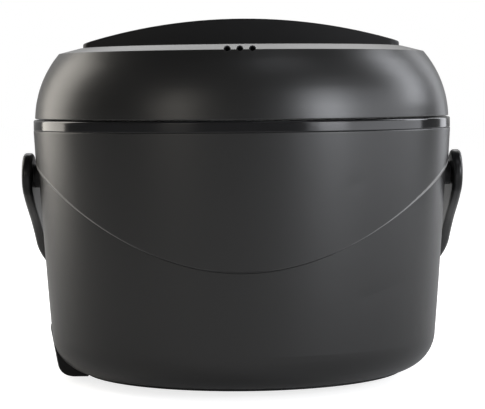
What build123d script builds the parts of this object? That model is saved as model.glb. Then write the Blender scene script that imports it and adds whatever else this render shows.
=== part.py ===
from build123d import *
import math
import os

# Electric lunch box: an oval, tapered container with a domed lid hinged at the rear,
# a swinging carrying handle and a heated chamber that holds a removable pot.
# Millimetres. +Z is up and the front faces -Y. The origin lies on the table, under
# the middle of the oval. Radii named R are half widths along X: every turned form is
# squeezed front to back by DEPTH_RATIO, which makes the round plan an oval.

# ---- overall form
DEPTH_RATIO = 0.81            # depth of the oval plan over its width
WALL = 2.4                    # moulded wall

# ---- outer body
BODY_FLOOR_Z = 5.0
BODY_TOP_Z = 135.4
BODY_FOOT_R = 102.9           # side wall carried down to the floor, before the corner
BODY_TOP_R = 111.4
BODY_BULGE = 0.5              # how far the side wall bows out of its chord
BODY_CORNER = 20.2
BODY_RIM_ROUND = 0.6
RECESS_RATIO = 0.8132         # plan ratio of the lower surface, so the step fades in front
APRON_STEP = 1.2              # the upper surface stands this proud at the sides
SMILE_LOW_Z = 66.5            # lowest point of the curved step, front and rear
SMILE_RISE = 53.0             # climb of the step from the middle to SMILE_R
SMILE_R = 112.0
BASE_OPENING_R = 74.0

# ---- collar between body and lid
COLLAR_R = 112.5
COLLAR_TOP_Z = 140.9
COLLAR_RIM_R = 105.0
DECK_Z = 139.2                # ledge that carries the pot's flange
DECK_R = 97.2
SKIRT_R = 108.2

# ---- lid
LID_BOTTOM_Z = 141.5
LID_ARC_X, LID_ARC_Z, LID_ARC_R = 55.9, 139.8, 55.8
CREASE_ANGLE = 40.5           # where the shoulder's arc ends in the crease
LAND_R = 87.0                 # inner edge of the sloped land
LID_TOP_Z = 178.9
LID_RIM_ROUND, CREASE_ROUND, LAND_ROUND = 0.5, 0.5, 1.0
LINER_TOP_Z, LINER_WALL = 149.2, 1.8
WELL_TOP_R, WELL_LOW_R = 58.0, 52.0
WELL_FLOOR_Z = 161.0
WELL_CORNER = 8.0
VENT_R, VENT_PITCH, VENT_X = 1.8, 6.25, -0.6
VENT_Y, VENT_RISE = -78.0, 0.5   # vent mouths on the land, above the crease
VENT_LEAN = 14.0              # the vents fall towards the inside
GRIP_HALF = 85.2
GRIP_CROWN_Z = 194.0
GRIP_CROWN_R = 295.0
GRIP_MID, GRIP_END = 13.0, 8.5   # half thickness at the middle and at the ends

# ---- hinge at the rear
HINGE_Y, HINGE_Z = 95.2, 137.5
KNUCKLE_R = 3.6
HINGE_PIN_R = 1.5
LEAF_HALF = 19.7
HINGE_HALF = 31.7

# ---- carrying handle and its pivots
PIVOT_Z = 110.4
ARM_OUTER, ARM_INNER = 118.7, 113.3
EYE_R = 12.5                  # round end of the arm
ARM_HALF_WIDTH = 9.0
GRIP_HALF_WIDTH = 10.0
HANDLE_REACH = 126.0          # pivot axis to the outside of the hand grip
HANDLE_GRIP_THICK = 9.0
HANDLE_CORNER, HANDLE_CORNER_IN = 66.0, 58.0
HANDLE_REST_ANGLE = 36.0      # below horizontal, behind the body
BOSS_R, SPIGOT_R = 6.5, 4.5
BOSS_SEAT_X = 109.0
PIVOT_PIN_R = 3.0
PIVOT_HEAD_R, PIVOT_HEAD = 5.0, 1.6

# ---- heated chamber and pot
CHAMBER_WALL, POT_WALL = 1.0, 0.8
CHAMBER_TOP_R, CHAMBER_LOW_R, CHAMBER_FLOOR_Z = 97.6, 93.6, 41.4
POT_TOP_R, POT_LOW_R, POT_FLOOR_Z = 95.2, 91.0, 42.6
POT_FLANGE_R = 102.0

# ---- heater, switch, fuse and their leads, under the chamber
PLATE_Z = 35.4                # underside of the heater plate
ELEMENT_R, ELEMENT_TUBE_R, ELEMENT_SWEEP = 38.0, 3.2, 320
COLD_END_Z = 23.4
FUSE_Y, FUSE_Z, FUSE_LEAD = -19.0, 32.2, 13.5
TAG_X, TAG_Z = 5.0, 26.0

# ---- base, feet and mains inlet
BASE_UNDER_Z = 4.2
BASE_LIP_R = 83.5
PLATE_TOP_Z = BODY_FLOOR_Z + 1.4
FOOT_SEAT_Z = BASE_UNDER_Z + 0.4
FOOT_X, FOOT_Y, FOOT_R = 48.0, 28.0, 6.5
SCREW_X, SCREW_Y = 55.2, 44.7
INLET_HALF, INLET_TOP_Z, INLET_BACK_X = 17.0, 29.0, 84.0
SOCKET_Z, SOCKET_WIDTH, SOCKET_HEIGHT, SOCKET_BACK_X = 13.5, 18.0, 9.6, 91.0
INLET_PIN_R, INLET_PIN_PITCH = 1.2, 8.6
INLET_PIN_ROOT_R = 1.7        # thicker root of the pin, pressed into the housing


ELEMENT_ENDS = [
    (ELEMENT_R * math.cos(math.radians(turn)), ELEMENT_R * math.sin(math.radians(turn)))
    for turn in (0, ELEMENT_SWEEP)
]


def turned(outline):
    """Turn an outline, drawn as radius and height, about the upright axis."""
    return revolve(Plane.XZ * outline, Axis.Z)


def oval(solid, ratio=DEPTH_RATIO):
    """Squeeze a turned solid front to back, so that its round plan becomes an oval."""
    return scale(solid, by=(1, ratio, 1))


def oval_disc(radius, low, high, ratio=DEPTH_RATIO):
    return Pos(0, 0, low) * extrude(Ellipse(radius, radius * ratio), high - low)


def bar_x(radius, start, end, y, z):
    """Round bar along X from start to end."""
    return Pos((start + end) / 2, y, z) * Rot(0, 90, 0) * Cylinder(radius, abs(end - start))


def corner_at(face, point):
    return face.vertices().sort_by_distance(Vector(*point))[0]


def four_ways(x, y):
    return [(sx * x, sy * y) for sx in (-1, 1) for sy in (-1, 1)]


def save(name, *solids):
    """Write one node; several separate solids share a file when they are alike."""
    shape = solids[0] if len(solids) == 1 else Compound(children=list(solids))
    shape.label = name
    export_step(shape, f"parts/{name}.step")


# ---- outer body -------------------------------------------------------------------

def side_section(grow):
    """Half section of the body, grown outwards (or drawn in) by a wall thickness."""
    foot, top = BODY_FOOT_R + grow, BODY_TOP_R + grow
    floor = BODY_FLOOR_Z - min(grow, 0)
    middle = ((foot + top) / 2 + BODY_BULGE, (floor + BODY_TOP_Z) / 2)
    wall = ThreePointArc((foot, floor), middle, (top, BODY_TOP_Z))
    rest = Polyline((top, BODY_TOP_Z), (0, BODY_TOP_Z), (0, floor), (foot, floor))
    face = make_face([wall, *rest.edges()])
    face = fillet(corner_at(face, (foot, floor)), BODY_CORNER + min(grow, 0))
    if grow < 0:
        return face
    return fillet(corner_at(face, (top, BODY_TOP_Z)), BODY_RIM_ROUND)


def smile_z(x):
    return SMILE_LOW_Z + SMILE_RISE * (x / SMILE_R) ** 2


def above_smile():
    """Everything above the smile-shaped step; a parabola is one Bezier of three points."""
    half = 1.2 * SMILE_R
    edge_z = smile_z(half)
    dip_z = 2 * SMILE_LOW_Z - edge_z
    smile = Bezier((-half, edge_z), (0, dip_z), (half, edge_z))
    region = make_face([smile, Line((half, edge_z), (-half, edge_z))])
    return extrude(Plane.XZ * region, 120, both=True)


def body_outside():
    lower = oval(turned(side_section(0)), RECESS_RATIO)
    apron = oval(turned(side_section(APRON_STEP)))
    return lower + (apron & above_smile())


def outer_body():
    """Tapered shell with the proud apron, open at the top and under the base."""
    shell = body_outside() - oval(turned(side_section(-WALL)), RECESS_RATIO)
    shell -= oval_disc(BASE_OPENING_R, 0, 20)
    for side in (-1, 1):
        pad = bar_x(BOSS_R + 2.5, side * 103.5, side * 108.4, 0, PIVOT_Z)
        shell += pad
        shell -= bar_x(BOSS_R + 0.05, side * BOSS_SEAT_X, side * 125, 0, PIVOT_Z)
        shell -= bar_x(SPIGOT_R + 0.05, side * 100, side * 125, 0, PIVOT_Z)
    for x, y in four_ways(SCREW_X, SCREW_Y):
        shell += Pos(x, y, 10.6) * Cylinder(3.2, 8)
        shell -= Pos(x, y, 9) * Cylinder(1.25, 10)
    return shell - inlet_blank(0.15)


# ---- mains inlet at the lower left ---------------------------------------------------

def inlet_section(grow):
    """Half section of the inlet's outer skin: it leans in and ends in a tight corner."""
    top, foot, low = 106.0 + grow, 100.4 + grow, 0.4 - grow
    points = [(0, low), (foot, low), (top, 32), (0, 32)]
    face = make_face(Polyline(*points, close=True))
    return fillet(corner_at(face, (foot, low)), 8)


def inlet_blank(grow=0.0):
    """Outer form of the inlet: an arched tongue of the oval skin, closed at its back."""
    half, back = INLET_HALF + grow, INLET_BACK_X - grow
    tongue = make_face(
        [
            Line((-half, -2), (half, -2)),
            Line((half, -2), (half, 14)),
            ThreePointArc((half, 14), (0, INLET_TOP_Z + grow), (-half, 14)),
            Line((-half, 14), (-half, -2)),
        ]
    )
    upright = extrude(Plane.YZ * tongue, -130)
    upright -= Pos(-back / 2, 0, 10) * Box(back, 60, 60)
    return oval(turned(inlet_section(grow))) & upright


def socket_slot():
    slot = SlotOverall(SOCKET_WIDTH, SOCKET_HEIGHT)
    return Pos(-SOCKET_BACK_X, 0, SOCKET_Z) * extrude(Plane.YZ * slot, -30)


def inlet_housing():
    housing = inlet_blank() - socket_slot()
    for side in (-1, 1):
        housing -= bar_x(INLET_PIN_ROOT_R, -80, -SOCKET_BACK_X, side * INLET_PIN_PITCH / 2,
                         SOCKET_Z)
    return housing


def inlet_pins():
    """Round contact pins; each has a thicker root in the housing and a rounded tip."""
    pins = []
    for side in (-1, 1):
        y = side * INLET_PIN_PITCH / 2
        pin = bar_x(INLET_PIN_R, -SOCKET_BACK_X, -99.5, y, SOCKET_Z)
        pin = fillet(pin.edges().sort_by(Axis.X)[0], 0.8)
        pins.append(pin + bar_x(INLET_PIN_ROOT_R, -81.5, -SOCKET_BACK_X, y, SOCKET_Z))
    return pins


# ---- collar ------------------------------------------------------------------------

def collar_band():
    """Glossy ring that caps the shell, carries the pot's flange and plugs into the body."""
    points = [
        (COLLAR_R, BODY_TOP_Z), (COLLAR_R, COLLAR_TOP_Z), (COLLAR_RIM_R, COLLAR_TOP_Z),
        (COLLAR_RIM_R, DECK_Z), (DECK_R, DECK_Z), (DECK_R, DECK_Z - WALL),
        (COLLAR_RIM_R + 0.2, DECK_Z - WALL), (COLLAR_RIM_R + 0.2, BODY_TOP_Z - 7),
        (SKIRT_R, BODY_TOP_Z - 7), (SKIRT_R, BODY_TOP_Z),
    ]
    face = make_face(Polyline(*points, close=True))
    face = fillet(corner_at(face, points[0]), 0.4)
    face = fillet(corner_at(face, points[1]), 0.9)
    face = fillet(corner_at(face, points[2]), 0.6)
    return oval(turned(face))


# ---- heated chamber, pot and heater ---------------------------------------------------

def cup_section(top_r, low_r, top_z, low_z, corner):
    face = make_face(Polyline((0, low_z), (low_r, low_z), (top_r, top_z), (0, top_z), close=True))
    return fillet(corner_at(face, (low_r, low_z)), corner)


def cup(top_r, low_r, top_z, low_z, corner, wall, flange_r):
    """Drawn metal cup with a flat flange round its mouth."""
    body = turned(cup_section(top_r, low_r, top_z, low_z, corner))
    body += Pos(0, 0, top_z - wall / 2) * Cylinder(flange_r, wall)
    inside = cup_section(top_r - wall, low_r - wall, top_z + 0.01, low_z + wall, corner - wall)
    return oval(body - turned(inside))


def heating_chamber():
    return cup(
        CHAMBER_TOP_R, CHAMBER_LOW_R, DECK_Z - WALL, CHAMBER_FLOOR_Z, 16, CHAMBER_WALL,
        COLLAR_RIM_R - 1.0,
    )


def inner_pot():
    pot = cup(
        POT_TOP_R, POT_LOW_R, DECK_Z + POT_WALL, POT_FLOOR_Z, 14.5, POT_WALL, POT_FLANGE_R
    )
    return pot


def heater_plate():
    """Cast plate pressed under the chamber, with a groove for the tubular element."""
    plate = oval_disc(64, PLATE_Z, CHAMBER_FLOOR_Z)
    plate -= Pos(0, 0, PLATE_Z) * Torus(ELEMENT_R, ELEMENT_TUBE_R + 0.1)
    return plate - Pos(0, 0, PLATE_Z) * Cylinder(9, 5)


def heating_element():
    """Open ring of tube, its two cold ends turned down."""
    ring = Pos(0, 0, PLATE_Z) * Torus(ELEMENT_R, ELEMENT_TUBE_R, major_angle=ELEMENT_SWEEP)
    for x, y in ELEMENT_ENDS:
        ring += Pos(x, y, PLATE_Z) * Sphere(ELEMENT_TUBE_R)
        ring += Pos(x, y, (PLATE_Z + COLD_END_Z) / 2) * Cylinder(2.4, PLATE_Z - COLD_END_Z)
    return ring


def thermostat():
    """Bimetal disc switch held up against the bottom of the chamber, with two tags."""
    can = Pos(0, 0, PLATE_Z + 0.2) * Cylinder(8, 4.6)
    base = Pos(0, 0, PLATE_Z - 4.9) * Cylinder(7, 5.6)
    tags = [Pos(side * TAG_X, 0, TAG_Z + 2) * Box(0.8, 4, 3.6) for side in (-1, 1)]
    return can + base + tags


def thermal_fuse():
    """Sealed cut-out in its sleeve, clipped against the plate."""
    body = bar_x(2.4, -7.5, 7.5, FUSE_Y, FUSE_Z)
    lead = bar_x(0.8, -FUSE_LEAD, FUSE_LEAD, FUSE_Y, FUSE_Z)
    clip = Pos(0, FUSE_Y, PLATE_Z - 1) * Box(6, 6, 2)
    return body + lead + clip


def lead_wires():
    """Insulated leads inside the base: inlet to fuse, fuse to element, inlet to switch."""
    left, half = -81.0, INLET_PIN_PITCH / 2
    (near_x, near_y), (far_x, far_y) = ELEMENT_ENDS
    low = COLD_END_Z - 0.2
    routes = [
        [(left, -half, SOCKET_Z), (-64, -8, SOCKET_Z), (-38, FUSE_Y, 24), (-24, FUSE_Y, FUSE_Z),
         (-FUSE_LEAD - 0.2, FUSE_Y, FUSE_Z)],
        [(FUSE_LEAD + 0.2, FUSE_Y, FUSE_Z), (20, FUSE_Y, FUSE_Z - 2), (24, FUSE_Y - 3, 17),
         (far_x, far_y, 14), (far_x, far_y, low)],
        [(left, half, SOCKET_Z), (-60, 8, 14), (-24, 3, 14), (-TAG_X, 0, 16), (-TAG_X, 0, TAG_Z)],
        [(TAG_X, 0, TAG_Z), (TAG_X, 0, 16), (24, 2, 14), (near_x, near_y, 15), (near_x, near_y, low)],
    ]
    wires = []
    for route in routes:
        path = FilletPolyline(*route, radius=2.4)
        start = Plane(origin=path @ 0, z_dir=path % 0)
        wires.append(sweep(start * Circle(1.1), path=path))
    return wires


# ---- base plate, feet and screws ------------------------------------------------------

def base_plate():
    """Black cover under the base: thin lip, raised floor with slots, ribs and sockets."""
    plate = oval_disc(BASE_LIP_R, BASE_UNDER_Z, BODY_FLOOR_Z)
    plate += oval_disc(BASE_OPENING_R - 0.3, BODY_FLOOR_Z - 0.1, PLATE_TOP_Z)
    rim = oval_disc(BASE_OPENING_R - 0.3, BODY_FLOOR_Z, 9.0)
    plate += rim - oval_disc(BASE_OPENING_R - 2.5, 0, 20)
    for x in (-18, 18):
        plate += Pos(x, 0, 7.6) * Box(1.8, 112, 2.4)
    for column in range(-6, 7):
        if column % 4:
            for y in (-15, 15):
                plate -= Pos(column * 6, y, 5) * extrude(Rot(0, 0, 90) * SlotOverall(20, 2.6), 12,
                                                         both=True)
    for x, y in four_ways(FOOT_X, FOOT_Y):
        plate -= Pos(x, y, 0) * extrude(Circle(FOOT_R + 0.1), FOOT_SEAT_Z)
        plate -= Pos(x, y, 5) * Cylinder(2.5, 10)
    for x, y in four_ways(SCREW_X, SCREW_Y):
        plate -= Pos(x, y, 5) * Cylinder(1.7, 6)
    return plate - inlet_blank(0.15)


def feet():
    """Rubber feet with a neck and a bead that pull through the plate."""
    made = []
    for x, y in four_ways(FOOT_X, FOOT_Y):
        pad = Pos(x, y, FOOT_SEAT_Z / 2) * Cylinder(FOOT_R, FOOT_SEAT_Z)
        pad = fillet(pad.edges().sort_by(Axis.Z)[0], 1.2)
        neck = Pos(x, y, FOOT_SEAT_Z - 0.1) * extrude(Circle(2.45), PLATE_TOP_Z - FOOT_SEAT_Z + 0.3)
        bead = Pos(x, y, PLATE_TOP_Z + 1.2) * Cone(3.3, 1.6, 2.2)
        made.append(pad + neck + bead)
    return made


def base_screws():
    made = []
    for x, y in four_ways(SCREW_X, SCREW_Y):
        head = Pos(x, y, BASE_UNDER_Z - 0.8) * Cylinder(2.8, 1.6)
        head -= Pos(x, y, BASE_UNDER_Z - 1.4) * (Box(3.4, 0.8, 0.9) + Box(0.8, 3.4, 0.9))
        made.append(head + Pos(x, y, BASE_UNDER_Z + 3.8) * Cylinder(1.2, 8))
    return made


# ---- handle and pivots -----------------------------------------------------------------

def pivot_bosses():
    """Flanged bushes in the side walls; their round heads space the arms off the body."""
    made = []
    for side in (-1, 1):
        head = bar_x(BOSS_R, side * BOSS_SEAT_X, side * (ARM_INNER - 0.3), 0, PIVOT_Z)
        spigot = bar_x(SPIGOT_R, side * 100.5, side * BOSS_SEAT_X, 0, PIVOT_Z)
        made.append(head + spigot - bar_x(PIVOT_PIN_R, side * 99, side * 125, 0, PIVOT_Z))
    return made


def pivot_pins():
    """Shoulder pins on which the arms turn, with flat slotted heads in the arms."""
    made = []
    for side in (-1, 1):
        head_in = side * (ARM_OUTER - 0.4 - PIVOT_HEAD)
        head_out = side * (ARM_OUTER - 0.4)
        pin = bar_x(PIVOT_PIN_R, side * 99.5, head_in, 0, PIVOT_Z)
        pin += bar_x(PIVOT_HEAD_R, head_in, head_out, 0, PIVOT_Z)
        made.append(pin - Pos(head_out, 0, PIVOT_Z) * Box(1.2, 7.0, 1.2))
    return made


def handle_plan():
    """The handle laid flat: a broad U whose open ends are at the pivots."""
    inner_reach = HANDLE_REACH - HANDLE_GRIP_THICK
    outside = make_face(Polyline(
        (-ARM_OUTER, -EYE_R), (ARM_OUTER, -EYE_R), (ARM_OUTER, HANDLE_REACH),
        (-ARM_OUTER, HANDLE_REACH), close=True))
    inside = make_face(Polyline(
        (-ARM_INNER, -EYE_R - 1), (ARM_INNER, -EYE_R - 1), (ARM_INNER, inner_reach),
        (-ARM_INNER, inner_reach), close=True))
    outside = fillet(outside.vertices().sort_by(Axis.Y)[-2:], HANDLE_CORNER)
    inside = fillet(inside.vertices().sort_by(Axis.Y)[-2:], HANDLE_CORNER_IN)
    return outside - inside


def handle_side():
    """Side outline of the arm: round eye, waist and the slightly wider hand grip."""
    waist, grip, tip = 34, HANDLE_REACH - 30, HANDLE_REACH + 1
    flanks = [
        Spline((0, side * EYE_R), (waist, side * ARM_HALF_WIDTH), (grip, side * ARM_HALF_WIDTH),
               (tip, side * GRIP_HALF_WIDTH), tangents=[(1, 0), (1, side * 0.05)])
        for side in (-1, 1)
    ]
    end = Line((tip, GRIP_HALF_WIDTH), (tip, -GRIP_HALF_WIDTH))
    eye = ThreePointArc((0, EYE_R), (-EYE_R, 0), (0, -EYE_R))
    return make_face([*flanks, end, eye])


def handle_bail():
    """One-piece carrying handle, hanging behind the body with its grip off the rear wall."""
    strap = extrude(handle_plan(), 20, both=True)
    strap &= extrude(Plane.YZ * handle_side(), 130, both=True)
    strap = fillet(strap.edges(), 2.0)
    for side in (-1, 1):
        strap -= bar_x(PIVOT_PIN_R + 0.05, side * 100, side * 125, 0, 0)
        strap -= bar_x(PIVOT_HEAD_R + 0.05, side * (ARM_OUTER - 0.5 - PIVOT_HEAD), side * 125, 0, 0)
    return Pos(0, 0, PIVOT_Z) * Rot(-HANDLE_REST_ANGLE, 0, 0) * strap


# ---- lid -----------------------------------------------------------------------------------

def lid_section(inset):
    """Half section of the lid: big shoulder arc, crease, sloped land and flat top."""
    radius = LID_ARC_R - inset
    base_angle = math.degrees(math.asin((LID_BOTTOM_Z - LID_ARC_Z) / radius))
    shoulder = CenterArc(
        (LID_ARC_X, LID_ARC_Z), radius, base_angle, CREASE_ANGLE - base_angle)
    land = (LAND_R - inset / 4, LID_TOP_Z - inset)
    rest = Polyline(shoulder @ 1, land, (0, land[1]), (0, LID_BOTTOM_Z), shoulder @ 0)
    face = make_face([shoulder, *rest.edges()])
    if inset:
        return face
    face = fillet(corner_at(face, (*(shoulder @ 0),)[:2]), LID_RIM_ROUND)
    face = fillet(corner_at(face, (*(shoulder @ 1),)[:2]), CREASE_ROUND)
    return fillet(corner_at(face, land), LAND_ROUND)


def well(grow):
    """Oval finger well under the grip."""
    section = cup_section(WELL_TOP_R + grow, WELL_LOW_R + grow, LID_TOP_Z + 1, WELL_FLOOR_Z - grow,
                          WELL_CORNER + grow)
    return oval(turned(section))


def vent_holes(radius, front, back):
    """Three round bars in line with the vents, from front to back of their mouths."""
    holes = []
    mouth_z = LID_ARC_Z + LID_ARC_R * math.sin(math.radians(CREASE_ANGLE)) + VENT_RISE
    for step in (-1, 0, 1):
        mouth = Pos(VENT_X + step * VENT_PITCH, VENT_Y, mouth_z) * Rot(90 - VENT_LEAN, 0, 0)
        holes.append(mouth * Pos(0, 0, back) * extrude(Circle(radius), front - back))
    return holes


def lid_shell():
    """Domed lid moulding with the finger well, grip sockets, vents and screw bosses."""
    outside = oval(turned(lid_section(0)))
    shell = outside - oval(turned(lid_section(WALL)))
    shell += well(WALL) & outside
    for x, y in four_ways(66, 40):
        shell += Pos(x, y, LINER_TOP_Z) * extrude(Circle(3.4), LID_TOP_Z - LINER_TOP_Z - 1)
        shell -= Pos(x, y, LINER_TOP_Z) * Cylinder(1.2, 20)
    shell -= well(0)
    for x in (-71, 71):
        shell -= Pos(x, 0, LID_TOP_Z) * Cylinder(4.1, 12)
    return shell - vent_holes(VENT_R, 8, -10)


def lid_grip():
    """Black arched bar that bridges the well, held by two pegs."""
    front = ThreePointArc((-GRIP_HALF, -GRIP_END), (0, -GRIP_MID), (GRIP_HALF, -GRIP_END))
    back = ThreePointArc((GRIP_HALF, GRIP_END), (0, GRIP_MID), (-GRIP_HALF, GRIP_END))
    right = Line((GRIP_HALF, -GRIP_END), (GRIP_HALF, GRIP_END))
    left = Line((-GRIP_HALF, GRIP_END), (-GRIP_HALF, -GRIP_END))
    plan = fillet(make_face([front, right, back, left]).vertices(), 6)
    bar = Pos(0, 0, LID_TOP_Z) * extrude(plan, 20)
    crown = Pos(0, 0, GRIP_CROWN_Z - GRIP_CROWN_R) * Rot(90, 0, 0) * Cylinder(GRIP_CROWN_R, 60)
    bar &= crown
    bar = fillet(bar.edges().filter_by(lambda e: e.center().Z > LID_TOP_Z + 1.2
                                       and e.length > 9), 1.2)
    for x in (-71, 71):
        peg = Pos(x, 0, LID_TOP_Z - 6) * Cylinder(4.0, 12)
        bar += peg
        bar -= Pos(x, 0, LID_TOP_Z - 8) * Cylinder(1.2, 12)
    return bar


def lid_liner():
    """Inner cover of the lid: flat rim, raised dish and a steam hole."""
    low = LID_BOTTOM_Z + 0.6
    dish = LINER_TOP_Z - LINER_WALL
    points = [
        (0, dish), (88, dish), (93, low), (108.4, low), (108.4, low + LINER_WALL),
        (94, low + LINER_WALL), (89, LINER_TOP_Z), (0, LINER_TOP_Z),
    ]
    liner = oval(turned(make_face(Polyline(*points, close=True))))
    liner -= Pos(VENT_X, -56, 148) * Cylinder(4, 8)
    for x, y in four_ways(66, 40):
        liner -= Pos(x, y, 148) * Cylinder(1.6, 8)
    return liner


def lid_gasket():
    """Silicone ring with a soft lip that lies over the pot's flange."""
    low = LID_BOTTOM_Z + 0.6
    points = [(97.5, low), (97.0, 141.0), (99.0, 140.4), (101.6, 141.0), (103.4, 141.2), (103.4, low)]
    return oval(turned(make_face(Polyline(*points, close=True))))


def vent_insert():
    """Black duct from the steam hole to the three vents."""
    low, high = LINER_TOP_Z + 0.1, LID_TOP_Z - WALL - 0.1
    duct = Pos(VENT_X, -59, (low + high) / 2) * (
        Box(21, 13, high - low) - Pos(0, 0, -1) * Box(18.6, 10.6, high - low))
    tubes = vent_holes(VENT_R - 0.05, -1, -13.5)
    bores = vent_holes(1.15, 2, -18)
    return duct + tubes - bores


def lid_screws():
    made = []
    for x, y in four_ways(66, 40):
        head = Pos(x, y, LINER_TOP_Z - LINER_WALL - 1) * Cylinder(2.8, 2)
        head -= Pos(x, y, LINER_TOP_Z - LINER_WALL - 2) * (Box(3.4, 0.8, 1.6) + Box(0.8, 3.4, 1.6))
        made.append(head + Pos(x, y, LINER_TOP_Z + 2.2) * Cylinder(1.15, 8))
    return made


# ---- hinge ---------------------------------------------------------------------------------

def side_plate(points, x_from, x_to):
    """Upright prism drawn in the YZ plane."""
    face = make_face(Polyline(*points, close=True))
    return Pos(x_from, 0, 0) * extrude(Plane.YZ * face, x_to - x_from)


def hinge_base():
    """Two body knuckles on one bracket that hugs the collar and the rear wall."""
    web = [(84, 126), (94, 128.5), (95.6, 131), (95.6, 133.3), (84, 133.3)]
    base = side_plate(web, -HINGE_HALF, HINGE_HALF)
    for side in (-1, 1):
        inner, outer = side * (LEAF_HALF + 0.3), side * HINGE_HALF
        cheek = [(84, 132), (95.6, 132), (98.2, 135.4), (95, 139.2), (84, 139.2)]
        base += side_plate(cheek, min(inner, outer), max(inner, outer))
        base += bar_x(KNUCKLE_R, inner, outer, HINGE_Y, HINGE_Z)
    base -= oval_disc(COLLAR_R, 125, COLLAR_TOP_Z)
    base -= body_outside()
    return base - bar_x(HINGE_PIN_R + 0.02, -40, 40, HINGE_Y, HINGE_Z)


def hinge_leaf():
    """Lid knuckle with the leaf that grows out of the lid's rear wall."""
    web = [(HINGE_Y - KNUCKLE_R, HINGE_Z), (HINGE_Y - KNUCKLE_R, 141.4), (84, 141.8), (84, 153),
           (90, 153), (98.3, 139.4), (HINGE_Y, HINGE_Z)]
    leaf = side_plate(web, -LEAF_HALF, LEAF_HALF)
    leaf += bar_x(KNUCKLE_R, -LEAF_HALF, LEAF_HALF, HINGE_Y, HINGE_Z)
    leaf -= oval(turned(lid_section(0)))
    return leaf - bar_x(HINGE_PIN_R + 0.06, -40, 40, HINGE_Y, HINGE_Z)


def hinge_pin():
    return bar_x(HINGE_PIN_R, -HINGE_HALF - 0.8, HINGE_HALF + 0.8, HINGE_Y, HINGE_Z)


os.makedirs("parts", exist_ok=True)
save("outer_body", outer_body())
save("collar_band", collar_band())
save("heating_chamber", heating_chamber())
save("inner_pot", inner_pot())
save("heater_plate", heater_plate())
save("heating_element", heating_element())
save("thermostat", thermostat())
save("thermal_fuse", thermal_fuse())
save("lead_wires", *lead_wires())
save("base_plate", base_plate())
save("feet", *feet())
save("base_screws", *base_screws())
save("inlet_housing", inlet_housing())
save("inlet_pins", *inlet_pins())
save("pivot_bosses", *pivot_bosses())
save("pivot_pins", *pivot_pins())
save("handle_bail", handle_bail())
save("lid_shell", lid_shell())
save("lid_grip", lid_grip())
save("lid_liner", lid_liner())
save("lid_gasket", lid_gasket())
save("vent_insert", vent_insert())
save("lid_screws", *lid_screws())
save("hinge_base", hinge_base())
save("hinge_leaf", hinge_leaf())
save("hinge_pin", hinge_pin())
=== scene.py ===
import math

import bmesh
import bpy
from mathutils import Matrix, Vector
from mathutils.bvhtree import BVHTree


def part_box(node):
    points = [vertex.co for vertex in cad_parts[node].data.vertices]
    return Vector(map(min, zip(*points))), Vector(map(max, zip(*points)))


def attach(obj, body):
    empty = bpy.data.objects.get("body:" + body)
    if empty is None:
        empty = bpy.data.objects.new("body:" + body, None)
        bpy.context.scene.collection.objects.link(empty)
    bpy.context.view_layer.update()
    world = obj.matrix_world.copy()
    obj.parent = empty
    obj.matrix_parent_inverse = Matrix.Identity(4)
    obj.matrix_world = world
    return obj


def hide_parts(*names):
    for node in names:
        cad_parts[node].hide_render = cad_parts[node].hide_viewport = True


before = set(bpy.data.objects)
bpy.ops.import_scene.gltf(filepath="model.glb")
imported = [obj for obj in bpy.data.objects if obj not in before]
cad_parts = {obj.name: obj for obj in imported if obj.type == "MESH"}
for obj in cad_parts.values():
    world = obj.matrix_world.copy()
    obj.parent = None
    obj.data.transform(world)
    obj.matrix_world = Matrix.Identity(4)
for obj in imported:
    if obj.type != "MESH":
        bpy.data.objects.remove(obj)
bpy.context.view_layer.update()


# ---- base plate ----------------------------------------------------------------------
# Black polypropylene cover, injection moulded with slots, ribs and screw holes.
# Its thin lip is the dark line under the body; four screws hold it up. The lip is
# drawn out to the shell's round corner.

def principled(name):
    """A new material with its node tree and Principled shader."""
    material = bpy.data.materials.new(name)
    material.use_nodes = True
    tree = material.node_tree
    return material, tree, tree.nodes["Principled BSDF"]


def new_group(name, inputs, outputs):
    """An empty shader group with float inputs (name: value) and float outputs."""
    group = bpy.data.node_groups.new(name, "ShaderNodeTree")
    for label, value in inputs.items():
        socket = group.interface.new_socket(label, in_out="INPUT", socket_type="NodeSocketFloat")
        socket.default_value = value
    for label in outputs:
        group.interface.new_socket(label, in_out="OUTPUT", socket_type="NodeSocketFloat")
    return group, group.nodes.new("NodeGroupInput"), group.nodes.new("NodeGroupOutput")


def maths(tree, operation, first, second=None, third=None):
    """A math node fed by sockets or plain numbers; gives its output socket."""
    node = tree.nodes.new("ShaderNodeMath")
    node.operation = operation
    for socket, value in zip(node.inputs, (first, second, third)):
        if value is None:
            continue
        if isinstance(value, (int, float)):
            socket.default_value = value
        else:
            tree.links.new(value, socket)
    return node.outputs[0]


def mould_grain_group():
    """Spark-eroded mould texture: fine height, and a slow drift of tone."""
    group, given, out = new_group(
        "mould grain", {"Grain per metre": 2600.0, "Patch per metre": 14.0}, ["Height", "Tone"])
    place = group.nodes.new("ShaderNodeTexCoord")
    fine = group.nodes.new("ShaderNodeTexNoise")
    fine.inputs["Detail"].default_value = 4.0
    fine.inputs["Roughness"].default_value = 0.65
    broad = group.nodes.new("ShaderNodeTexNoise")
    broad.inputs["Detail"].default_value = 3.0
    link = group.links.new
    link(place.outputs["Object"], fine.inputs["Vector"])
    link(place.outputs["Object"], broad.inputs["Vector"])
    link(given.outputs["Grain per metre"], fine.inputs["Scale"])
    link(given.outputs["Patch per metre"], broad.inputs["Scale"])
    link(fine.outputs["Fac"], out.inputs["Height"])
    link(broad.outputs["Fac"], out.inputs["Tone"])
    return group


EDGE_GAIN = 9.0         # turns the bevel's small angles into a full mask


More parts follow.
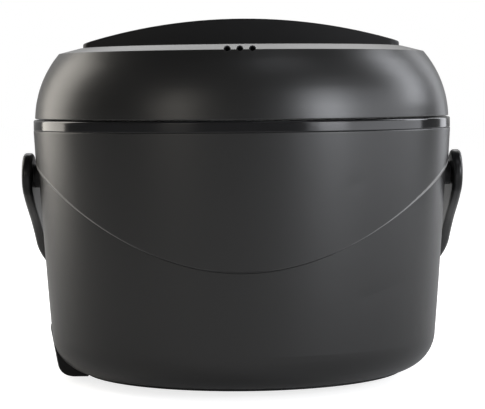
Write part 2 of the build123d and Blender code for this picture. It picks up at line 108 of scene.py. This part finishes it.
def rubbed_edge_group():
    """Mask of convex edges, broken up, where handling polishes the grain away."""
    group, given, out = new_group("rubbed edge", {"Width": 0.0008, "Break up": 300.0}, ["Mask"])
    link = group.links.new
    rounded = group.nodes.new("ShaderNodeBevel")
    rounded.samples = 4
    link(given.outputs["Width"], rounded.inputs["Radius"])
    flat = group.nodes.new("ShaderNodeNewGeometry")
    dot = group.nodes.new("ShaderNodeVectorMath")
    dot.operation = "DOT_PRODUCT"
    link(rounded.outputs["Normal"], dot.inputs[0])
    link(flat.outputs["Normal"], dot.inputs[1])
    turn = maths(group, "SUBTRACT", 1.0, dot.outputs["Value"])
    sharp = maths(group, "MULTIPLY", turn, EDGE_GAIN)
    place = group.nodes.new("ShaderNodeTexCoord")
    patches = group.nodes.new("ShaderNodeTexNoise")
    patches.inputs["Detail"].default_value = 3.0
    link(place.outputs["Object"], patches.inputs["Vector"])
    link(given.outputs["Break up"], patches.inputs["Scale"])
    mask = maths(group, "MULTIPLY", sharp, patches.outputs["Fac"])
    limited = maths(group, "MINIMUM", mask, 1.0)
    link(limited, out.inputs["Mask"])
    return group


DUST_FACING_POWER = 3.0   # dust keeps to faces turned well up
SPECK_FLOOR, SPECK_GAIN = 0.52, 4.0


def dust_group():
    """Mask of fine dust that settles on faces turned up."""
    group, given, out = new_group("settled dust", {"Specks per metre": 1800.0}, ["Mask"])
    link = group.links.new
    place = group.nodes.new("ShaderNodeTexCoord")
    parts = group.nodes.new("ShaderNodeSeparateXYZ")
    link(place.outputs["Normal"], parts.inputs[0])
    facing = maths(group, "MAXIMUM", parts.outputs["Z"], 0.0)
    faced = maths(group, "POWER", facing, DUST_FACING_POWER)
    specks = group.nodes.new("ShaderNodeTexNoise")
    specks.inputs["Detail"].default_value = 5.0
    specks.inputs["Roughness"].default_value = 0.8
    link(place.outputs["Object"], specks.inputs["Vector"])
    link(given.outputs["Specks per metre"], specks.inputs["Scale"])
    sparse = maths(group, "SUBTRACT", specks.outputs["Fac"], SPECK_FLOOR)
    above = maths(group, "MAXIMUM", sparse, 0.0)
    strong = maths(group, "MULTIPLY", above, SPECK_GAIN)
    mask = maths(group, "MULTIPLY", strong, faced)
    limited = maths(group, "MINIMUM", mask, 1.0)
    link(limited, out.inputs["Mask"])
    return group


MOULD_GRAIN = mould_grain_group()
RUBBED_EDGE = rubbed_edge_group()
SETTLED_DUST = dust_group()


def place_group(tree, group, **values):
    """A shader group placed in a material, with its own input values."""
    node = tree.nodes.new("ShaderNodeGroup")
    node.node_tree = group
    for label, value in values.items():
        node.inputs[label.replace("_", " ")].default_value = value
    return node


def blend_colour(tree, mask, dark, light):
    """Two colours (plain or linked) mixed by a mask; gives the colour socket."""
    mix = tree.nodes.new("ShaderNodeMix")
    mix.data_type = "RGBA"
    tree.links.new(mask, mix.inputs["Factor"])
    for socket, value in ((mix.inputs[6], dark), (mix.inputs[7], light)):
        if isinstance(value, tuple):
            socket.default_value = (*value, 1.0)
        else:
            tree.links.new(value, socket)
    return mix.outputs[2]


def ranged(tree, value, low, high):
    """Turn a 0 to 1 value into the range from low to high."""
    node = tree.nodes.new("ShaderNodeMapRange")
    node.inputs["To Min"].default_value = low
    node.inputs["To Max"].default_value = high
    tree.links.new(value, node.inputs["Value"])
    return node.outputs["Result"]


def bumped(tree, shader, height, depth):
    """Feed a height, in metres of depth, to the shader's normal."""
    bump = tree.nodes.new("ShaderNodeBump")
    bump.inputs["Strength"].default_value = 1.0
    bump.inputs["Distance"].default_value = depth
    tree.links.new(height, bump.inputs["Height"])
    tree.links.new(bump.outputs["Normal"], shader.inputs["Normal"])


EDGE_POLISH = 0.12      # rubbed edges are smoother by this much roughness


def moulded_plastic(name, dark, light, rub, dust, rough, depth, grain=2600.0, dust_share=0.25,
                    specular=0.5):
    """Moulded plastic: tone drifts from dark to light, edges rub, dust settles on top."""
    material, tree, shader = principled(name)
    shader.inputs["Specular IOR Level"].default_value = specular
    grains = place_group(tree, MOULD_GRAIN, Grain_per_metre=grain)
    edges = place_group(tree, RUBBED_EDGE)
    dusty = place_group(tree, SETTLED_DUST)
    tone = blend_colour(tree, grains.outputs["Tone"], dark, light)
    worn = blend_colour(tree, edges.outputs["Mask"], tone, rub)
    film = maths(tree, "MULTIPLY", dusty.outputs["Mask"], dust_share)
    tree.links.new(blend_colour(tree, film, worn, dust), shader.inputs["Base Color"])
    base_rough = ranged(tree, grains.outputs["Tone"], rough[0], rough[1])
    polish = maths(tree, "MULTIPLY", edges.outputs["Mask"], EDGE_POLISH)
    tree.links.new(maths(tree, "SUBTRACT", base_rough, polish), shader.inputs["Roughness"])
    bumped(tree, shader, grains.outputs["Height"], depth)
    return material


def dress(material, *names):
    """Give CAD nodes their finish."""
    for name in names:
        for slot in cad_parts[name].material_slots:
            slot.material = material


matte_black = moulded_plastic(
    "matte_black_polypropylene", dark=(0.0045, 0.0045, 0.0047), light=(0.008, 0.008, 0.0082),
    rub=(0.025, 0.025, 0.026), dust=(0.12, 0.12, 0.118), rough=(0.42, 0.52), depth=0.00004,
    specular=0.22)


def refitted(node, name, material, shift):
    """A copy of a CAD node's mesh that stands for it, with each point moved by shift(point)."""
    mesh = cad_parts[node].data.copy()
    for point in mesh.vertices:
        point.co += shift(point.co)
    mesh.materials.clear()
    mesh.materials.append(material)
    piece = bpy.data.objects.new(name, mesh)
    bpy.context.scene.collection.objects.link(piece)
    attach(piece, "base")
    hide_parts(node)


OVAL_RATIO = 0.81             # depth of the oval plan over its width
PLATE_GROW = 0.0035           # its lip reaches this much further out under the shell's corner
PLATE_GROW_WIDTH = 0.0055     # only this width of its rim is stretched
PLATE_LIP_MIDDLE_Z = 0.0046   # the lip's upper face rises to meet the shell's round corner
PLATE_LIP_RISE = 0.0004
plate_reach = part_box("base_plate")[1][0]


def lip_growth(point):
    """Outward stretch of the plate's rim, and the rise of its lip's upper face."""
    flat = Vector((point.x, point.y / OVAL_RATIO, 0.0))
    share = min(1.0, max(0.0, 1.0 - (plate_reach - flat.length) / PLATE_GROW_WIDTH))
    if share == 0.0:
        return Vector((0.0, 0.0, 0.0))
    outward = flat.normalized() * PLATE_GROW * share
    rise = PLATE_LIP_RISE * share if point.z > PLATE_LIP_MIDDLE_Z else 0.0
    return Vector((outward.x, outward.y * OVAL_RATIO, rise))


refitted("base_plate", "lipped_base_plate", matte_black, lip_growth)


# ---- feet ----------------------------------------------------------------------------
# Four black rubber buttons; each has a bead that pulls up through the base plate.

def rubber(name, dark, light):
    """Soft moulded rubber or silicone, matt, with dust that clings to its upper faces."""
    material, tree, shader = principled(name)
    grains = place_group(tree, MOULD_GRAIN, Grain_per_metre=1900.0, Patch_per_metre=60.0)
    dusty = place_group(tree, SETTLED_DUST)
    tone = blend_colour(tree, grains.outputs["Tone"], dark, light)
    film = maths(tree, "MULTIPLY", dusty.outputs["Mask"], 0.2)
    tree.links.new(blend_colour(tree, film, tone, (0.2, 0.2, 0.19)), shader.inputs["Base Color"])
    tree.links.new(ranged(tree, grains.outputs["Tone"], 0.7, 0.85), shader.inputs["Roughness"])
    bumped(tree, shader, grains.outputs["Height"], 0.00005)
    return material


foot_rubber = rubber("foot_rubber", (0.012, 0.012, 0.012), (0.022, 0.022, 0.021))
dress(foot_rubber, "feet")


# ---- base screws ---------------------------------------------------------------------
# Cross-recessed self-tapping screws of zinc-plated steel, one beside each foot,
# driven until their heads lie nearly flush with the plate.

def brush_line_group():
    """Turning or brushing lines that run round the upright axis."""
    group, given, out = new_group("brush lines", {"Lines per metre": 2500.0}, ["Streak"])
    link = group.links.new
    place = group.nodes.new("ShaderNodeTexCoord")
    parts = group.nodes.new("ShaderNodeSeparateXYZ")
    link(place.outputs["Object"], parts.inputs[0])
    across = maths(group, "MULTIPLY", parts.outputs["X"], parts.outputs["X"])
    along = maths(group, "MULTIPLY", parts.outputs["Y"], parts.outputs["Y"])
    squared = maths(group, "ADD", across, maths(group, "DIVIDE", along, OVAL_RATIO ** 2))
    radius = maths(group, "SQRT", squared)
    turn = maths(group, "ARCTAN2", parts.outputs["Y"], parts.outputs["X"])
    spot = group.nodes.new("ShaderNodeCombineXYZ")
    link(maths(group, "MULTIPLY", radius, given.outputs["Lines per metre"]), spot.inputs["X"])
    link(maths(group, "MULTIPLY", parts.outputs["Z"], given.outputs["Lines per metre"]),
         spot.inputs["Y"])
    link(maths(group, "MULTIPLY", turn, 6.0), spot.inputs["Z"])
    lines = group.nodes.new("ShaderNodeTexNoise")
    lines.inputs["Scale"].default_value = 1.0
    lines.inputs["Detail"].default_value = 3.0
    link(spot.outputs["Vector"], lines.inputs["Vector"])
    link(lines.outputs["Fac"], out.inputs["Streak"])
    return group


BRUSH_LINES = brush_line_group()


STREAK_GAIN = 2.6       # lifts the product of two 0 to 1 patterns back to full range


def worked_metal(name, dark, light, rough, lines, depth, anisotropic):
    """Metal whose colour, roughness and height follow its brushing or turning lines."""
    material, tree, shader = principled(name)
    brushed = place_group(tree, BRUSH_LINES, Lines_per_metre=lines)
    grains = place_group(tree, MOULD_GRAIN, Grain_per_metre=900.0, Patch_per_metre=35.0)
    shader.inputs["Metallic"].default_value = 1.0
    shader.inputs["Anisotropic"].default_value = anisotropic
    streaky = maths(tree, "MULTIPLY", brushed.outputs["Streak"], grains.outputs["Tone"])
    lifted = maths(tree, "MULTIPLY", streaky, STREAK_GAIN)
    tree.links.new(blend_colour(tree, lifted, dark, light), shader.inputs["Base Color"])
    tree.links.new(ranged(tree, brushed.outputs["Streak"], rough[0], rough[1]),
                   shader.inputs["Roughness"])
    bumped(tree, shader, brushed.outputs["Streak"], depth)
    return material


zinc_steel = worked_metal(
    "zinc_plated_steel", (0.42, 0.42, 0.40), (0.62, 0.62, 0.60), (0.28, 0.42), 1500.0, 0.00002, 0.2)
SCREW_SINK = 0.0013     # the heads are pulled up into the plate by this

refitted("base_screws", "sunk_base_screws", zinc_steel,
         lambda point: Vector((0.0, 0.0, SCREW_SINK)))


# ---- outer body ----------------------------------------------------------------------
# Satin charcoal polypropylene shell, moulded in one shot with a smile-shaped step
# that runs round the sides. The collar caps it and the base plate closes it below.

charcoal_satin = moulded_plastic(
    "charcoal_satin_polypropylene", dark=(0.0088, 0.0087, 0.0085), light=(0.0112, 0.0111, 0.0108),
    rub=(0.04, 0.04, 0.04), dust=(0.12, 0.12, 0.118), rough=(0.31, 0.36), depth=0.000018)
dress(charcoal_satin, "outer_body")

LIP_LOW_Z, LIP_RISE, LIP_RISE_X = 0.0665, 0.053, 0.112   # the step climbs as a parabola
LIP_RATIO_BELOW = 0.8132                    # plan ratio of the surface below the step
LIP_STEP = 0.0012                           # the upper surface stands proud by this at the sides
LIP_DROP_FRONT, LIP_DROP_SIDE = 0.0008, 0.0048   # height of the rounding
LIP_FAN_POWER = 5                           # it widens only near the bosses
LIP_HIGHLIGHT_FROM, LIP_HIGHLIGHT_TO = 0.035, 0.085   # a painted highlight grows from here towards the sides; nearer the middle the lip is painted shade
# lip colours: a painted shade darker than the shell at the front, and a pale painted highlight
# towards the bosses
LIP_PAINTED_SHADE, LIP_PAINTED_HIGHLIGHT = (0.004, 0.004, 0.004), (0.17, 0.168, 0.164)
LIP_BURY = 0.0008                           # its root lies this deep in the wall
LIP_STATIONS, LIP_FACETS = 384, 8
LIP_FIT_STEPS = 5                           # height and radius of the edge settle in these
LIP_SHARP_ANGLE = 40.0


def upper_radius(skin, z):
    """Half width of the body's upper surface at a height, measured on the front."""
    start = Vector((0.0, -1.0, max(z, LIP_LOW_Z + LIP_STEP)))
    hit = skin.ray_cast(start, Vector((0.0, 1.0, 0.0)))[0]
    return -hit.y / OVAL_RATIO


def smile_z(x):
    """Height of the step's edge at a distance from the middle."""
    return LIP_LOW_Z + LIP_RISE * (x / LIP_RISE_X) ** 2


def lip_ring(skin, turn):
    """Points of the lip's section at one turn round the oval, a closed loop."""
    across, along = math.cos(turn), math.sin(turn)
    radius = LIP_RISE_X * OVAL_RATIO
    for _ in range(LIP_FIT_STEPS):
        radius = upper_radius(skin, smile_z(radius * across))
    edge_z = smile_z(radius * across)
    below = radius - LIP_STEP
    upper = Vector((radius * across, OVAL_RATIO * radius * along, 0.0))
    lower = Vector((below * across, LIP_RATIO_BELOW * below * along, 0.0))
    root = lower * (1.0 - LIP_BURY / below)
    drop = LIP_DROP_FRONT + (LIP_DROP_SIDE - LIP_DROP_FRONT) * abs(across) ** LIP_FAN_POWER
    points = [root + Vector((0.0, 0.0, edge_z + LIP_STEP / 3)),
              upper.lerp(lower, 0.05) + Vector((0.0, 0.0, edge_z + LIP_STEP / 3))]
    for facet in range(LIP_FACETS + 1):
        sweep = 0.5 * math.pi * facet / LIP_FACETS
        points.append(root.lerp(upper, math.cos(sweep))
                      + Vector((0.0, 0.0, edge_z - drop * math.sin(sweep))))
    return points


def lip_with_painted_shade_and_highlight():
    """The shell's plastic with painted shade under the step at the front, and a painted highlight
    that grows pale towards the bosses.
    """
    material, tree, shader = principled("charcoal_lip_painted_shade_and_highlight")
    place = tree.nodes.new("ShaderNodeTexCoord")
    parts = tree.nodes.new("ShaderNodeSeparateXYZ")
    tree.links.new(place.outputs["Object"], parts.inputs[0])
    sideways = maths(tree, "ABSOLUTE", parts.outputs["X"])
    highlight_share = tree.nodes.new("ShaderNodeMapRange")
    highlight_share.interpolation_type = "SMOOTHSTEP"
    highlight_share.inputs["From Min"].default_value = LIP_HIGHLIGHT_FROM
    highlight_share.inputs["From Max"].default_value = LIP_HIGHLIGHT_TO
    tree.links.new(sideways, highlight_share.inputs["Value"])
    grains = place_group(tree, MOULD_GRAIN)
    highlight_mask = maths(tree, "MULTIPLY", highlight_share.outputs["Result"],
                   ranged(tree, grains.outputs["Tone"], 0.7, 1.1))
    # the painted shade at the front blends into the painted highlight at the sides
    tree.links.new(blend_colour(tree, highlight_mask, LIP_PAINTED_SHADE, LIP_PAINTED_HIGHLIGHT),
                   shader.inputs["Base Color"])
    tree.links.new(ranged(tree, grains.outputs["Tone"], 0.30, 0.36), shader.inputs["Roughness"])
    bumped(tree, shader, grains.outputs["Height"], 0.000018)
    return material


def smile_lip():
    """The rounded lower edge of the proud surface, once round the body."""
    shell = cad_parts["outer_body"].data
    skin = BVHTree.FromPolygons([point.co for point in shell.vertices],
                                [tuple(face.vertices) for face in shell.polygons])
    rings = [lip_ring(skin, math.tau * station / LIP_STATIONS) for station in range(LIP_STATIONS)]
    count = len(rings[0])
    faces = []
    for station in range(LIP_STATIONS):
        here, there = station * count, (station + 1) % LIP_STATIONS * count
        for side in range(count):
            far = (side + 1) % count
            faces.append((here + side, here + far, there + far, there + side))
    mesh = bpy.data.meshes.new("smile_lip")
    mesh.from_pydata([point for ring in rings for point in ring], [], faces)
    work = bmesh.new()
    work.from_mesh(mesh)
    bmesh.ops.recalc_face_normals(work, faces=work.faces)
    work.to_mesh(mesh)
    work.free()
    mesh.polygons.foreach_set("use_smooth", [True] * len(mesh.polygons))
    mesh.set_sharp_from_angle(angle=math.radians(LIP_SHARP_ANGLE))
    mesh.materials.append(lip_with_painted_shade_and_highlight())
    lip = bpy.data.objects.new("smile_lip", mesh)
    bpy.context.scene.collection.objects.link(lip)
    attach(lip, "base")


smile_lip()


# ---- mains inlet ---------------------------------------------------------------------
# Black moulded housing clipped into the lower left wall, with a two-pin socket.
# The pins are nickel-plated brass, pressed in from behind.

contact_brass = worked_metal(
    "nickel_plated_brass", (0.55, 0.50, 0.38), (0.74, 0.69, 0.55), (0.2, 0.3), 2200.0, 0.00001, 0.2)
dress(contact_brass, "inlet_pins")

INLET_LIFT = 0.0024     # the foot of the housing clears the table
INLET_BEND_Z = 0.0085   # only its rounded foot is raised, below the socket
inlet_low_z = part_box("inlet_housing")[0][2]


def foot_lift(point):
    """Lift of the housing's rounded foot, full at its lowest point."""
    share = max(0.0, (INLET_BEND_Z - point.z) / (INLET_BEND_Z - inlet_low_z))
    return Vector((0.0, 0.0, INLET_LIFT * share))


refitted("inlet_housing", "raised_inlet_housing", matte_black, foot_lift)


# ---- heater and leads ----------------------------------------------------------------
# Cast aluminium plate with a tubular element, a bimetal switch and a thermal fuse
# held against the chamber's bottom; silicone-sleeved leads join them to the inlet.

cast_aluminium = worked_metal(
    "pressed_aluminium", (0.52, 0.52, 0.53), (0.72, 0.72, 0.73), (0.36, 0.52), 700.0, 0.00003, 0.3)
brushed_steel = worked_metal(
    "brushed_stainless_steel", (0.50, 0.49, 0.47), (0.68, 0.67, 0.65), (0.2, 0.34), 2600.0,
    0.00001, 0.6)
wire_sleeve = rubber("wire_sleeve", (0.40, 0.39, 0.37), (0.50, 0.49, 0.47))
dress(cast_aluminium, "heater_plate", "heating_chamber")
dress(brushed_steel, "heating_element", "thermostat", "thermal_fuse")
dress(wire_sleeve, "lead_wires")


# ---- collar --------------------------------------------------------------------------
# Polished black ring between body and lid, snapped over the body's rim.

gloss_black = moulded_plastic(
    "gloss_black_abs", dark=(0.006, 0.006, 0.0065), light=(0.008, 0.008, 0.0085),
    rub=(0.015, 0.015, 0.016), dust=(0.1, 0.1, 0.1), rough=(0.10, 0.15), depth=0.000003,
    grain=400.0)
dress(gloss_black, "collar_band")


# ---- pot -----------------------------------------------------------------------------
# Deep-drawn stainless pot that hangs in the chamber by its flange.

dress(brushed_steel, "inner_pot")


# ---- handle and pivots ---------------------------------------------------------------
# One-piece black bail that swings on steel shoulder pins in two flanged bushes.

polished_black = moulded_plastic(
    "handled_black_polypropylene", dark=(0.0045, 0.0045, 0.0047), light=(0.008, 0.008, 0.0082),
    rub=(0.025, 0.025, 0.026), dust=(0.12, 0.12, 0.118), rough=(0.27, 0.33), depth=0.00003,
    specular=0.34)
dress(polished_black, "handle_bail")
dress(matte_black, "pivot_bosses")
dress(zinc_steel, "pivot_pins")


# ---- hinge ---------------------------------------------------------------------------
# Black knuckles at the rear on a steel pin, which carry the lid.

dress(matte_black, "hinge_base", "hinge_leaf")
dress(zinc_steel, "hinge_pin")


# ---- lid shell -----------------------------------------------------------------------
# Domed satin moulding with a finger well, a sloped land and three steam vents.

dress(charcoal_satin, "lid_shell")


# ---- lid grip ------------------------------------------------------------------------
# Black arched bar that bridges the finger well, fixed by two pegs from below.

dress(matte_black, "lid_grip")


# ---- liner, gasket, duct and screws ---------------------------------------------------
# Light grey inner cover, screwed up into the lid over a silicone ring and the
# black duct that leads steam to the vents.

liner_grey = moulded_plastic(
    "liner_polypropylene", dark=(0.36, 0.36, 0.355), light=(0.42, 0.42, 0.415),
    rub=(0.5, 0.5, 0.5), dust=(0.5, 0.5, 0.49), rough=(0.35, 0.42), depth=0.00001)
silicone = rubber("white_silicone", (0.5, 0.5, 0.48), (0.6, 0.6, 0.58))
dress(liner_grey, "lid_liner")
dress(silicone, "lid_gasket")
dress(matte_black, "vent_insert")
dress(zinc_steel, "lid_screws")


# ---- studio: floor -------------------------------------------------------------------
# A plain white table top, wide enough to reach past every view.

FLOOR_HALF = 6.0
FLOOR_WHITE = (0.6, 0.6, 0.6)   # what the lamps light
FLOOR_GLOW = 0.78               # added for the camera, which then sees plain white


def floor():
    mesh = bpy.data.meshes.new("floor")
    corners = [(sx * FLOOR_HALF, sy * FLOOR_HALF, 0.0)
               for sx, sy in ((-1, -1), (1, -1), (1, 1), (-1, 1))]
    mesh.from_pydata(corners, [], [(0, 1, 2, 3)])
    thing = bpy.data.objects.new("floor", mesh)
    bpy.context.scene.collection.objects.link(thing)
    material, tree, shader = principled("white_floor")
    shader.inputs["Base Color"].default_value = (*FLOOR_WHITE, 1.0)
    shader.inputs["Roughness"].default_value = 0.9
    shader.inputs["Specular IOR Level"].default_value = 0.0
    path = tree.nodes.new("ShaderNodeLightPath")
    rays = maths(tree, "MAXIMUM", path.outputs["Is Camera Ray"],
                 path.outputs["Is Transmission Ray"])
    seen = maths(tree, "MULTIPLY", rays, FLOOR_GLOW)
    shader.inputs["Emission Color"].default_value = (1.0, 1.0, 1.0, 1.0)
    tree.links.new(seen, shader.inputs["Emission Strength"])
    mesh.materials.append(material)


floor()


# ---- studio: surroundings --------------------------------------------------------------
# White to the camera. In reflections the room is white behind the object, and dim on
# the camera's side, overhead and at table level, as behind a photographer's flags.

# A direction's Y or Z, from 0 to 1, between which each of the three fades runs.
BEHIND_SPAN, CEILING_SPAN, TABLE_SPAN = (0.45, 0.85), (0.55, 0.95), (0.22, 0.46)
FRONT_WALL, CEILING, TABLE_LEVEL = 0.08, 0.12, 0.42   # brightness seen in reflections
ROOM_FILL = 0.36                                      # brightness that lights matt faces


def surroundings():
    world = bpy.data.worlds.new("studio")
    bpy.context.scene.world = world
    world.use_nodes = True
    tree = world.node_tree
    nodes, links = tree.nodes, tree.links
    background = nodes["Background"]
    place = nodes.new("ShaderNodeTexCoord")
    parts = nodes.new("ShaderNodeSeparateXYZ")
    links.new(place.outputs["Generated"], parts.inputs[0])

    def fade(source, span, low, high):
        node = nodes.new("ShaderNodeMapRange")
        node.interpolation_type = "SMOOTHSTEP"
        for label, value in (("From Min", span[0]), ("From Max", span[1]), ("To Min", low),
                             ("To Max", high)):
            node.inputs[label].default_value = value
        links.new(source, node.inputs["Value"])
        return node.outputs["Result"]

    behind = fade(parts.outputs["Y"], BEHIND_SPAN, FRONT_WALL, 1.0)
    below_ceiling = fade(parts.outputs["Z"], CEILING_SPAN, 1.0, CEILING)
    above_table = fade(parts.outputs["Z"], TABLE_SPAN, TABLE_LEVEL, 1.0)
    path = nodes.new("ShaderNodeLightPath")
    room = maths(tree, "MULTIPLY", maths(tree, "MULTIPLY", behind, below_ceiling), above_table)
    glossy = maths(tree, "MULTIPLY", path.outputs["Is Glossy Ray"], room)
    plain = maths(tree, "MAXIMUM", path.outputs["Is Camera Ray"],
                  path.outputs["Is Transmission Ray"])
    diffuse = maths(tree, "MULTIPLY", path.outputs["Is Diffuse Ray"], ROOM_FILL)
    first = maths(tree, "MAXIMUM", glossy, plain)
    links.new(maths(tree, "MAXIMUM", first, diffuse), background.inputs["Strength"])
    background.inputs["Color"].default_value = (1.0, 1.0, 1.0, 1.0)


surroundings()


# ---- studio: lamps ---------------------------------------------------------------------
# Softboxes aimed at the lid. Each stands at a bearing in degrees, counted from the
# camera's side towards the right, at a height angle and at a distance in metres. Its
# width, height and radiance give its power.

LAMP_AIM = Vector((0.0, 0.0, 0.13))


def softbox(name, bearing, rise, distance, width, height, radiance, colour):
    light = bpy.data.lights.new(name, "AREA")
    light.shape = "RECTANGLE"
    light.size, light.size_y = width, height
    light.energy = radiance * math.pi * width * height
    light.color = colour
    lamp = bpy.data.objects.new(name, light)
    turn, lift = math.radians(bearing), math.radians(rise)
    away = Vector((math.sin(turn) * math.cos(lift), -math.cos(turn) * math.cos(lift),
                   math.sin(lift)))
    lamp.location = LAMP_AIM + away * distance
    lamp.rotation_euler = away.to_track_quat("Z", "Y").to_euler()
    lamp.visible_camera = False
    bpy.context.scene.collection.objects.link(lamp)


WARM, COOL, PLAIN = (1.0, 0.95, 0.87), (0.93, 0.95, 1.0), (1.0, 1.0, 1.0)
softbox("left_softbox", -113, 17, 1.1, 0.62, 0.90, 4.3, WARM)
softbox("front_left_strip", -29, 12, 1.1, 0.30, 0.42, 2.9, WARM)
softbox("front_right_box", 39, 11, 1.1, 0.36, 0.42, 10.5, COOL)
softbox("right_strip", 100, 28, 1.1, 0.35, 0.75, 7.0, COOL)
softbox("right_wall", 68, 2, 1.3, 1.70, 0.90, 2.6, COOL)
softbox("right_rear_strip", 134, 12, 1.2, 0.30, 0.80, 2.2, COOL)
softbox("high_front_box", 24, 52, 1.1, 0.40, 0.22, 1.6, COOL)
softbox("rear_softbox", 180, 36, 1.2, 1.35, 0.50, 1.4, PLAIN)


# ---- studio: camera --------------------------------------------------------------------
# A long lens in front, level with the lid and tipped a little down.

CAMERA_EYE = (0.0, -0.858, 0.157)
CAMERA_PITCH = 4.222
CAMERA_ROLL = -0.0092
CAMERA_LENS = 117.05

camera_data = bpy.data.cameras.new("camera")
camera_data.sensor_width = 36.0
camera_data.lens = CAMERA_LENS
camera = bpy.data.objects.new("camera", camera_data)
camera.matrix_world = (Matrix.Translation(CAMERA_EYE)
                       @ Matrix.Rotation(math.radians(90.0 - CAMERA_PITCH), 4, "X")
                       @ Matrix.Rotation(CAMERA_ROLL, 4, "Z"))
bpy.context.scene.collection.objects.link(camera)
bpy.context.scene.camera = camera
bpy.context.scene.view_settings.view_transform = "Standard"
